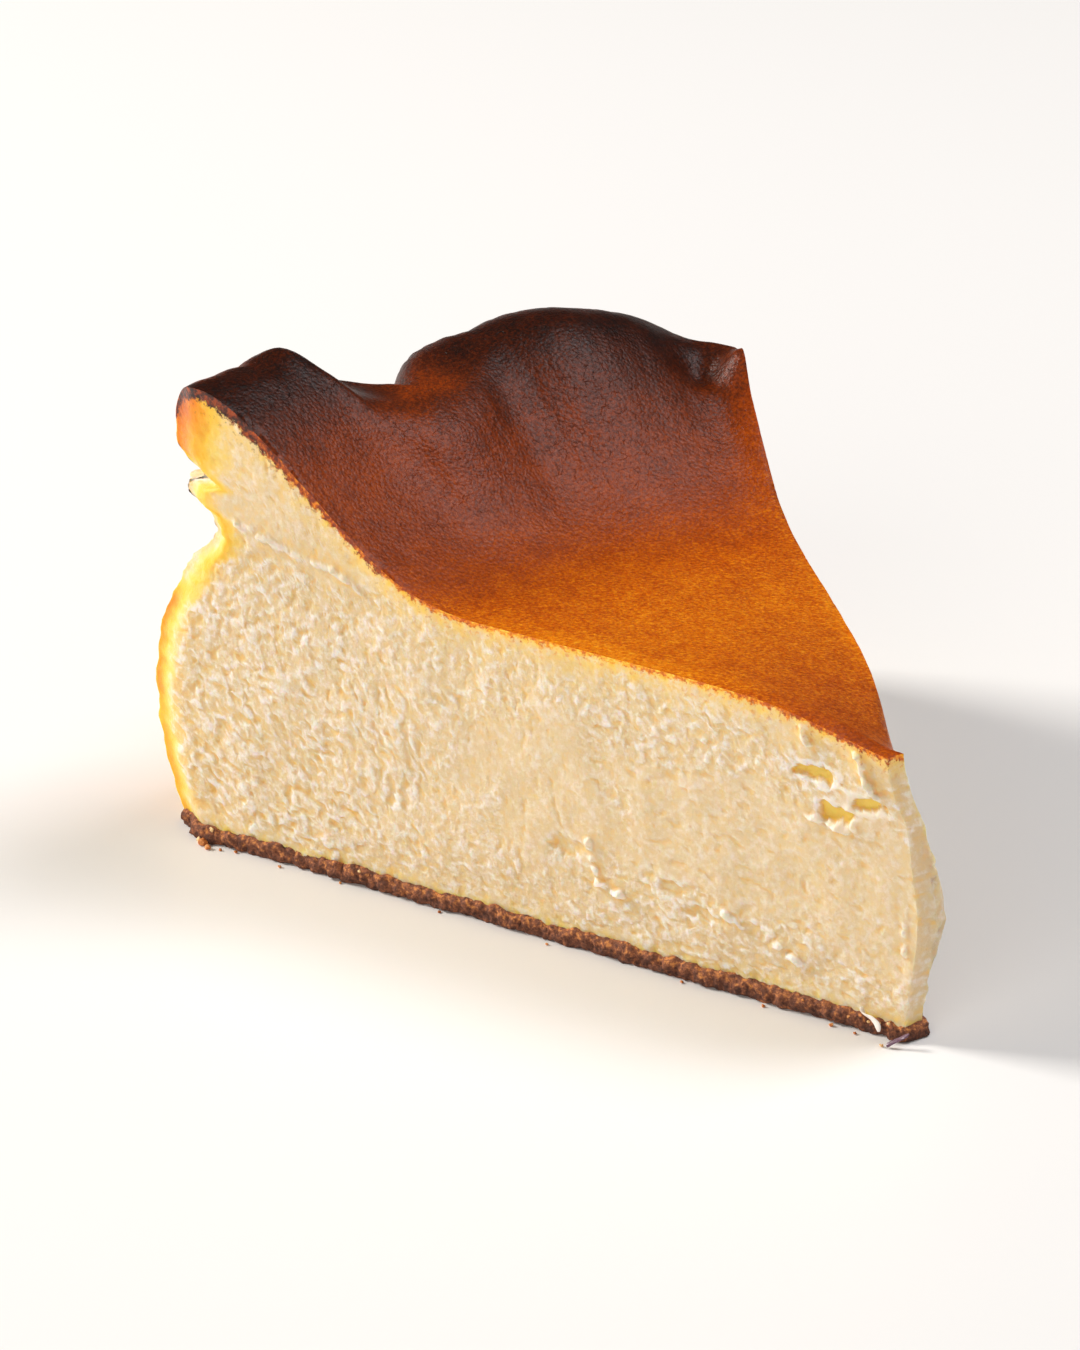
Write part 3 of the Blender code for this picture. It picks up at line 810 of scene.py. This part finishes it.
# Crumbs at the foot: (distance from the axis, how far in front of the near cut, size, tone from dark to pale)
LOOSE_CRUMBS = ((95.6, 3.5, 1.15, 0.62), (94.4, 4.1, 0.75, 0.72), (96.4, 3.0, 0.8, 0.9),
                (92.9, 3.7, 0.4, 0.6), (91.0, 3.2, 0.45, 0.7), (84.4, 3.6, 0.42, 0.72),
                (76.0, 3.3, 0.35, 0.8), (62.0, 3.4, 0.4, 0.5), (47.0, 3.6, 0.35, 0.7),
                (29.0, 3.4, 0.4, 0.65), (18.2, 3.5, 0.45, 0.7), (9.4, 3.4, 0.5, 0.72),
                (6.2, 3.6, 0.4, 0.6), (2.2, 4.6, 0.45, 0.85))
# Paler crumbs on the base's shoulder: (distance from the axis, height, size, tone)
SHOULDER_CRUMBS = ((94.8, 1.9, 0.6, 0.95), (73.6, 2.0, 0.4, 0.9), (2.4, 2.0, 0.42, 1.0),
                   (3.6, 1.7, 0.36, 0.95), (5.0, 1.5, 0.4, 0.9), (7.6, 1.4, 0.4, 0.75),
                   (13.5, 1.8, 0.36, 0.7))
SHOULDER_OUT = 2.75  # how far in front of the near cut they lie
# A curl shaved off the custard and a chip of the skin, at the tip: (distance, in front, height) along each
SHAVING = ((6.0, 2.6, 3.0), (5.4, 3.0, 2.5), (4.2, 3.4, 2.4), (3.3, 3.7, 2.0), (3.0, 3.9, 1.3))
CHIP = ((-0.5, 3.2, 1.7), (0.2, 3.7, 1.2), (1.0, 4.2, 0.7), (1.6, 4.6, 0.25))
STRAND_ROWS, STRAND_CORNERS = 12, 12  # rows between two of its points, and corners around it


def in_front(along, out, height):
    return NEAR * along + NEAR_OUT * out + UP * height


def make_lumps(name, lumps, material):
    """Small rough crumbs as one piece: (middle, size, tone) for each."""
    ball = bmesh.new()
    bmesh.ops.create_icosphere(ball, subdivisions=3, radius=0.5)
    unit = np.array([corner.co for corner in ball.verts])
    triangles = [[corner.index for corner in face.verts] for face in ball.faces]
    ball.free()
    points, faces, tones = [], [], []
    for number, (middle, size, tone) in enumerate(lumps):
        swell = 1 + 0.45 * layered(unit + 9.0 * number, 0.6, 90)
        faces += [[corner + len(unit) * number for corner in face] for face in triangles]
        points.append(middle + unit * swell[:, None] * size * (1.0, 0.85, 0.75))
        tones.append(np.full(len(unit), tone))
    points = np.concatenate(points)
    points[:, 2] = np.clip(points[:, 2], ON_FLOOR, None)
    return place_mesh(name, points, faces, [material], values={"tone": np.concatenate(tones)})


def make_strand(name, spine, half_wide, half_thick, turns, material):
    """A thin flat strip that twists along a line of points and tapers at both ends."""
    spine = np.array([in_front(*place) for place in spine])
    count = STRAND_ROWS * (len(spine) - 1) + 1
    at = np.linspace(0, len(spine) - 1, count)
    middle = np.stack([read_curve(list(enumerate(spine[:, axis])), at) for axis in range(3)], axis=1)
    run = np.gradient(middle, axis=0)
    run /= np.linalg.norm(run, axis=1)[:, None]
    side = np.cross(run, UP)
    side /= np.linalg.norm(side, axis=1)[:, None]
    rise = np.cross(side, run)
    share = at / at[-1]
    taper = np.sqrt(np.clip(1 - (2 * share - 1) ** 4, 0.03, 1)) * (1 + 0.25 * noise(middle, 0.8, 91))
    lean = 2 * math.pi * turns * share
    ring = STRAND_CORNERS
    points = []
    for corner in range(ring):
        turn = 2 * math.pi * corner / ring
        wide, thick = half_wide * math.cos(turn) * taper, half_thick * math.sin(turn) * taper
        points.append(middle + side * (wide * np.cos(lean) - thick * np.sin(lean))[:, None]
                      + rise * (wide * np.sin(lean) + thick * np.cos(lean))[:, None])
    faces = [(c * count + i, c * count + i + 1, (c + 1) % ring * count + i + 1, (c + 1) % ring * count + i)
             for c in range(ring) for i in range(count - 1)]
    faces += [[c * count for c in range(ring)], [c * count + count - 1 for c in reversed(range(ring))]]
    points = np.concatenate(points)
    points[:, 2] = np.clip(points[:, 2], ON_FLOOR, None)
    return place_mesh(name, points, faces, [material])


def make_loose_bits():
    lumps = [(in_front(along, out, 0.33 * size), size, tone) for along, out, size, tone in LOOSE_CRUMBS]
    lumps += [(in_front(along, SHOULDER_OUT, height), size, tone)
              for along, height, size, tone in SHOULDER_CRUMBS]
    shaving_look = plain_look("shaving_look", CURD_WHITE_AND_HIGHLIGHT, 0.35)
    chip_look = plain_look("skin_chip_look", CHIP_BROWN_AND_SHEEN, 0.22)
    return [make_lumps("loose_crumbs", lumps, loose_crumb_look()),
            make_strand("custard_shaving", SHAVING, 0.42, 0.14, 0.4, shaving_look),
            make_strand("skin_chip", CHIP, 0.34, 0.09, 0.1, chip_look)]


# Looks

def colour(red, green, blue):
    """A colour from its screen values."""
    straight = [((c / 255 + 0.055) / 1.055) ** 2.4 if c > 10 else c / 255 / 12.92 for c in (red, green, blue)]
    return (*straight, 1.0)


CREAM = colour(232, 207, 164)
# The white of the custard shaving, and also the painted highlight on the cut's raised curds.
CURD_WHITE_AND_HIGHLIGHT = colour(248, 239, 232)
# Painted glow: the yellow given to the custard's pits stands in for light scattered through the custard.
PIT_GLOW_YELLOW = colour(244, 196, 98)
# Painted glow: the bright yellow of the torn hollows stands in for light shining through their thin walls.
HOLLOW_GLOW_YELLOW = colour(255, 216, 92)
# The skin chip: dark brown skin with a painted mauve sheen of reflected light mixed into its colour.
CHIP_BROWN_AND_SHEEN = colour(104, 74, 92)
FLOOR_WHITE = colour(240, 238, 236)
BROWNING = ((0.0, CREAM), (0.12, colour(250, 212, 110)), (0.2, colour(251, 198, 62)),
            (0.29, colour(245, 168, 34)), (0.38, colour(234, 138, 14)), (0.47, colour(210, 109, 3)),
            (0.56, colour(182, 80, 2)), (0.62, colour(161, 66, 3)), (0.69, colour(138, 54, 4)),
            (0.77, colour(105, 40, 8)), (0.84, colour(80, 30, 7)), (0.92, colour(54, 18, 5)),
            (1.0, colour(26, 11, 6)))
PACKED_CRUMBS = ((0.32, colour(70, 36, 24)), (0.46, colour(112, 64, 42)), (0.56, colour(150, 88, 56)),
                 (0.66, colour(214, 138, 72)))
CRUMB_TONES = ((0.3, colour(96, 52, 30)), (0.6, colour(198, 112, 48)), (0.75, colour(222, 146, 76)),
               (1.0, colour(240, 208, 150)))


class Nodes:
    """Short ways to add nodes to a material and join them."""

    def __init__(self, tree):
        self.tree = tree
        self.shader = tree.nodes["Principled BSDF"]

    def add(self, kind, settings=None, inputs=None):
        node = self.tree.nodes.new(kind)
        for key, value in (settings or {}).items():
            setattr(node, key, value)
        for key, value in (inputs or {}).items():
            self.feed(node.inputs[key], value)
        return node

    def feed(self, socket, value):
        if isinstance(value, bpy.types.NodeSocket):
            self.tree.links.new(value, socket)
        else:
            socket.default_value = value

    def shade(self, inputs):
        """Sets the shader's own sockets: a plain value stays on the socket."""
        for key, value in inputs.items():
            self.feed(self.shader.inputs[key], value)

    def value(self, label):
        return self.add("ShaderNodeAttribute", {"attribute_name": label}).outputs["Fac"]

    def math(self, operation, first, second=0.0, third=0.0):
        inputs = {0: first, 1: second, 2: third}
        return self.add("ShaderNodeMath", {"operation": operation}, inputs).outputs[0]

    def sum(self, first, second):
        return self.math("ADD", first, second)

    def product(self, first, second):
        return self.math("MULTIPLY", first, second)

    def own_place(self):
        return self.add("ShaderNodeTexCoord").outputs["Object"]

    def stretched_place(self, scale, turn):
        turned = self.add("ShaderNodeMapping", inputs={"Vector": self.own_place(), "Rotation": (0, 0, turn)})
        scaled = {"Vector": turned.outputs[0], "Scale": scale}
        return self.add("ShaderNodeMapping", inputs=scaled).outputs[0]

    def noise(self, per_mm, detail=3.0, rough=0.5, place=None, output=0):
        place = self.own_place() if place is None else place
        inputs = {"Vector": place, "Scale": per_mm / MM, "Detail": detail, "Roughness": rough}
        return self.add("ShaderNodeTexNoise", inputs=inputs).outputs[output]

    def varied(self, amount, per_mm, detail=3.0, rough=0.5):
        """A noise from minus to plus an amount."""
        return self.remap(self.noise(per_mm, detail, rough), 0.3, 0.7, -amount, amount)

    def cells(self, feature, per_mm, shaken_per_mm, shaken_mm):
        """A pattern of cells that a noise pushes about."""
        shake = self.noise(shaken_per_mm, 2.0, output=1)
        place = self.add("ShaderNodeVectorMath", {"operation": "MULTIPLY_ADD"},
                         {0: shake, 1: (shaken_mm * MM,) * 3, 2: self.own_place()}).outputs[0]
        inputs = {"Vector": place, "Scale": per_mm / MM}
        return self.add("ShaderNodeTexVoronoi", {"feature": feature}, inputs).outputs[0]

    def remap(self, value, low, high, to_low=0.0, to_high=1.0):
        inputs = {"Value": value, "From Min": low, "From Max": high, "To Min": to_low, "To Max": to_high}
        return self.add("ShaderNodeMapRange", {"clamp": True}, inputs).outputs[0]

    def mix(self, share, first, second):
        inputs = {0: share, 6: first, 7: second}
        return self.add("ShaderNodeMix", {"data_type": "RGBA"}, inputs).outputs[2]

    def ramp(self, value, stops):
        node = self.add("ShaderNodeValToRGB", inputs={"Fac": value})
        band = node.color_ramp
        while len(band.elements) < len(stops):
            band.elements.new(0.5)
        for element, (place, tint) in zip(band.elements, stops):
            element.position = place
            element.color = tint
        return node.outputs[0]

    def bump(self, height, distance_mm, under=None):
        inputs = {"Height": height, "Strength": 1.0, "Distance": distance_mm * MM}
        if under is not None:
            inputs["Normal"] = under
        return self.add("ShaderNodeBump", inputs=inputs).outputs[0]


def new_material(name):
    material = bpy.data.materials.new(name)
    material.use_nodes = True
    return material, Nodes(material.node_tree)


def custard_look():
    """Torn custard: moist, with a painted white highlight on its raised curds and a painted yellow glow in
    its pits and hollows, and browned at the skin's edge.
    """
    material, nodes = new_material("custard_look")
    deep, torn, rind = nodes.value("deep"), nodes.value("torn"), nodes.value("rind")
    burn = nodes.sum(nodes.value("burn"), nodes.varied(0.02, 1.2))
    base = nodes.ramp(burn, BROWNING)
    depth = nodes.sum(deep, nodes.varied(0.25, 1.0))
    # Painted glow: pits turn a saturated yellow, standing in for light scattered through the custard.
    painted_glow = nodes.product(nodes.remap(depth, 0.05, 0.75, 0.0, 0.8), nodes.remap(burn, 0.2, 0.1))
    base = nodes.mix(painted_glow, base, PIT_GLOW_YELLOW)
    # Painted highlight: raised curds are mixed towards white, standing in for light catching their tops.
    raised = nodes.sum(depth, nodes.remap(nodes.noise(2.0, 4.0, 0.6), 0.4, 0.62, 0.2, -0.2))
    pale = nodes.product(nodes.remap(raised, 0.06, -0.4, 0.0, 0.85), nodes.remap(burn, 0.15, 0.05))
    pale = nodes.product(pale, nodes.remap(torn, 0.0, 1.0, 0.65, 1.0))
    base = nodes.mix(pale, base, CURD_WHITE_AND_HIGHLIGHT)
    # Painted glow: the deepest places, the torn hollows, turn bright yellow.
    base = nodes.mix(nodes.remap(deep, 0.8, 1.0, 0.0, 0.8), base, HOLLOW_GLOW_YELLOW)

    # The skin's edge: a ragged browned line, with specks of it below
    wander = nodes.sum(rind, nodes.varied(0.7, 1.0, 5.0, 0.7))
    skin_burn = nodes.remap(nodes.noise(1.5, 4.0, 0.6), 0.4, 0.64, 0.02, -0.32)
    browned = nodes.ramp(nodes.sum(nodes.value("skin_burn"), skin_burn), BROWNING)
    specks = nodes.product(nodes.remap(nodes.noise(1.7), 0.58, 0.64), nodes.remap(rind, -2.4, -0.4))
    base = nodes.mix(nodes.product(specks, 0.5), base, browned)
    base = nodes.mix(nodes.remap(wander, -0.2, 0.15), base, browned)

    nodules = nodes.cells("F1", 2.6, 1.2, 0.4)
    rounded = nodes.math("MULTIPLY_ADD", nodes.noise(3.6, 4.0, 0.65), 0.6, nodes.product(nodules, -1.0))
    granules = nodes.product(rounded, nodes.remap(torn, 0.0, 1.0, 0.5, 1.0))
    nodes.shade({"Base Color": base, "Roughness": nodes.remap(nodules, 0.1, 0.6, 0.26, 0.46),
                 "Subsurface Weight": 0.65, "Subsurface Radius": (1.0, 0.65, 0.3),
                 "Subsurface Scale": 1.6 * MM, "Specular IOR Level": 0.45,
                 "Normal": nodes.bump(granules, 0.07)})
    return material


def skin_look():
    """Browned skin: a fine leathery grain, hairline cracks where dark and golden fibres where amber."""
    material, nodes = new_material("browned_skin_look")
    burn = nodes.value("burn")
    amber, dark = nodes.remap(burn, 0.64, 0.52), nodes.remap(burn, 0.58, 0.7)
    mottled = nodes.sum(burn, nodes.varied(0.03, 0.3, 4.0))
    mottled = nodes.sum(mottled, nodes.remap(nodes.noise(2.4, 4.0, 0.7), 0.4, 0.6, -0.055, 0.055))
    fibre_place = nodes.stretched_place((0.5, 1.7, 1.7), math.radians(-FIBRES_TURN))
    golden = nodes.product(nodes.remap(nodes.noise(2.6, 3.0, 0.7, fibre_place), 0.5, 0.62), amber)
    mottled = nodes.math("MULTIPLY_ADD", golden, -0.12, nodes.math("MULTIPLY_ADD", amber, 0.04, mottled))

    line = nodes.remap(nodes.cells("DISTANCE_TO_EDGE", 0.62, 0.6, 0.45), 0.008, 0.035, 1.0, 0.0)
    broken = nodes.remap(nodes.noise(0.9, 2.0), 0.52, 0.58)
    cracks = nodes.product(nodes.product(line, broken), dark)
    mottled = nodes.math("MULTIPLY_ADD", cracks, 0.045, mottled)

    grain = nodes.noise(3.5, 3.0, 0.6)
    rough = nodes.sum(nodes.remap(grain, 0.3, 0.7, -0.06, 0.06), nodes.remap(burn, 0.5, 0.7, 0.4, 0.38))
    relief = nodes.bump(grain, 0.05)
    relief = nodes.bump(nodes.product(nodes.cells("F1", 2.0, 1.5, 0.3), -1.0), 0.06, relief)
    relief = nodes.bump(nodes.noise(0.6), 0.04, relief)
    relief = nodes.bump(golden, 0.03, relief)
    relief = nodes.bump(nodes.product(cracks, -1.0), 0.03, relief)
    nodes.shade({"Base Color": nodes.ramp(mottled, BROWNING), "Roughness": rough,
                 "Subsurface Weight": 0.2, "Subsurface Radius": (1.0, 0.4, 0.12),
                 "Subsurface Scale": 1.5 * MM, "Specular IOR Level": 0.16, "Normal": relief})
    return material


def crumb_look():
    """Packed crumbs, darker at the foot, with lighter, toasted ones among them."""
    material, nodes = new_material("crumb_look")
    spots = nodes.sum(nodes.noise(1.5, 4.0, 0.65), nodes.remap(nodes.value("level"), 0.3, 0.8, -0.07, 0.04))
    fine = nodes.bump(nodes.noise(3.5, 3.0, 0.6), 0.12)
    nodes.shade({"Base Color": nodes.ramp(spots, PACKED_CRUMBS), "Roughness": 0.8,
                 "Normal": nodes.bump(nodes.noise(1.6, 3.0, 0.6), 0.25, fine)})
    return material


def loose_crumb_look():
    """Loose crumbs, each with its own tone."""
    material, nodes = new_material("loose_crumb_look")
    tone = nodes.sum(nodes.value("tone"), nodes.varied(0.15, 2.5))
    nodes.shade({"Base Color": nodes.ramp(tone, CRUMB_TONES), "Roughness": 0.6,
                 "Normal": nodes.bump(nodes.noise(4.0, 3.0, 0.6), 0.08)})
    return material


def plain_look(name, shade, rough):
    material, nodes = new_material(name)
    nodes.shade({"Base Color": shade, "Roughness": rough})
    return material


# The stage, in metres and watts

FLOOR_REACH = 6.0
WORLD_STRENGTH = 0.045


def make_camera():
    lens = bpy.data.cameras.new("camera")
    lens.lens = CAMERA_LENS
    lens.sensor_width = 36
    lens.clip_start = 0.01
    camera = bpy.data.objects.new("camera", lens)
    turn, pitch, roll = (math.radians(a) for a in (CAMERA_TURN, CAMERA_PITCH, CAMERA_ROLL))
    right = Vector((math.cos(turn), math.sin(turn), 0))
    ahead = Vector((-math.sin(turn) * math.cos(pitch), math.cos(turn) * math.cos(pitch), -math.sin(pitch)))
    above = right.cross(ahead)
    side = right * math.cos(roll) - above * math.sin(roll)
    top = right * math.sin(roll) + above * math.cos(roll)
    pose = Matrix((side, top, -ahead)).transposed().to_4x4()
    pose.translation = Vector(CAMERA_AT) * MM
    camera.matrix_world = pose
    bpy.context.scene.collection.objects.link(camera)
    bpy.context.scene.camera = camera


def make_light(name, toward, distance, size, power, tint):
    """A soft square light that faces the slice from a direction."""
    lamp = bpy.data.lights.new(name, "AREA")
    lamp.shape = "SQUARE"
    lamp.size = size
    lamp.energy = power
    lamp.color = tint
    light = bpy.data.objects.new(name, lamp)
    away = Vector(toward).normalized()
    light.location = away * distance + Vector((0, 0, 0.03))
    light.rotation_euler = away.to_track_quat("Z", "Y").to_euler()
    bpy.context.scene.collection.objects.link(light)


def make_stage():
    mesh = bpy.data.meshes.new("floor")
    corners = [(x * FLOOR_REACH, y * FLOOR_REACH, 0) for x, y in ((-1, -1), (1, -1), (1, 1), (-1, 1))]
    mesh.from_pydata(corners, [], [(0, 1, 2, 3)])
    mesh.materials.append(plain_look("floor_look", FLOOR_WHITE, 0.5))
    floor = bpy.data.objects.new("floor", mesh)
    bpy.context.scene.collection.objects.link(floor)
    make_light("key", (-0.80, -0.60, 0.62), 1.2, 0.35, 15, (1.0, 0.97, 0.91))
    make_light("top_soft", (0.13, 0.49, 0.86), 1.1, 0.5, 8.0, (0.97, 0.97, 1.0))
    make_light("front_soft", (0.55, -0.85, 0.45), 1.4, 1.0, 7.5, (1.0, 0.97, 0.92))
    world = bpy.data.worlds.new("world")
    world.use_nodes = True
    background = world.node_tree.nodes["Background"]
    background.inputs["Color"].default_value = (1, 1, 1, 1)
    background.inputs["Strength"].default_value = WORLD_STRENGTH
    bpy.context.scene.world = world
    bpy.context.scene.view_settings.view_transform = "Standard"


def main():
    custard = make_custard([custard_look(), skin_look()])
    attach(custard, "root")
    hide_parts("custard")
    base = make_base(crumb_look())
    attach(base, "root")
    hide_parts("crumb_base")
    for piece, slot in zip(make_loose_bits(), ("crumb_base", "custard", "custard")):
        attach(piece, "root")
    make_stage()
    make_camera()


main()
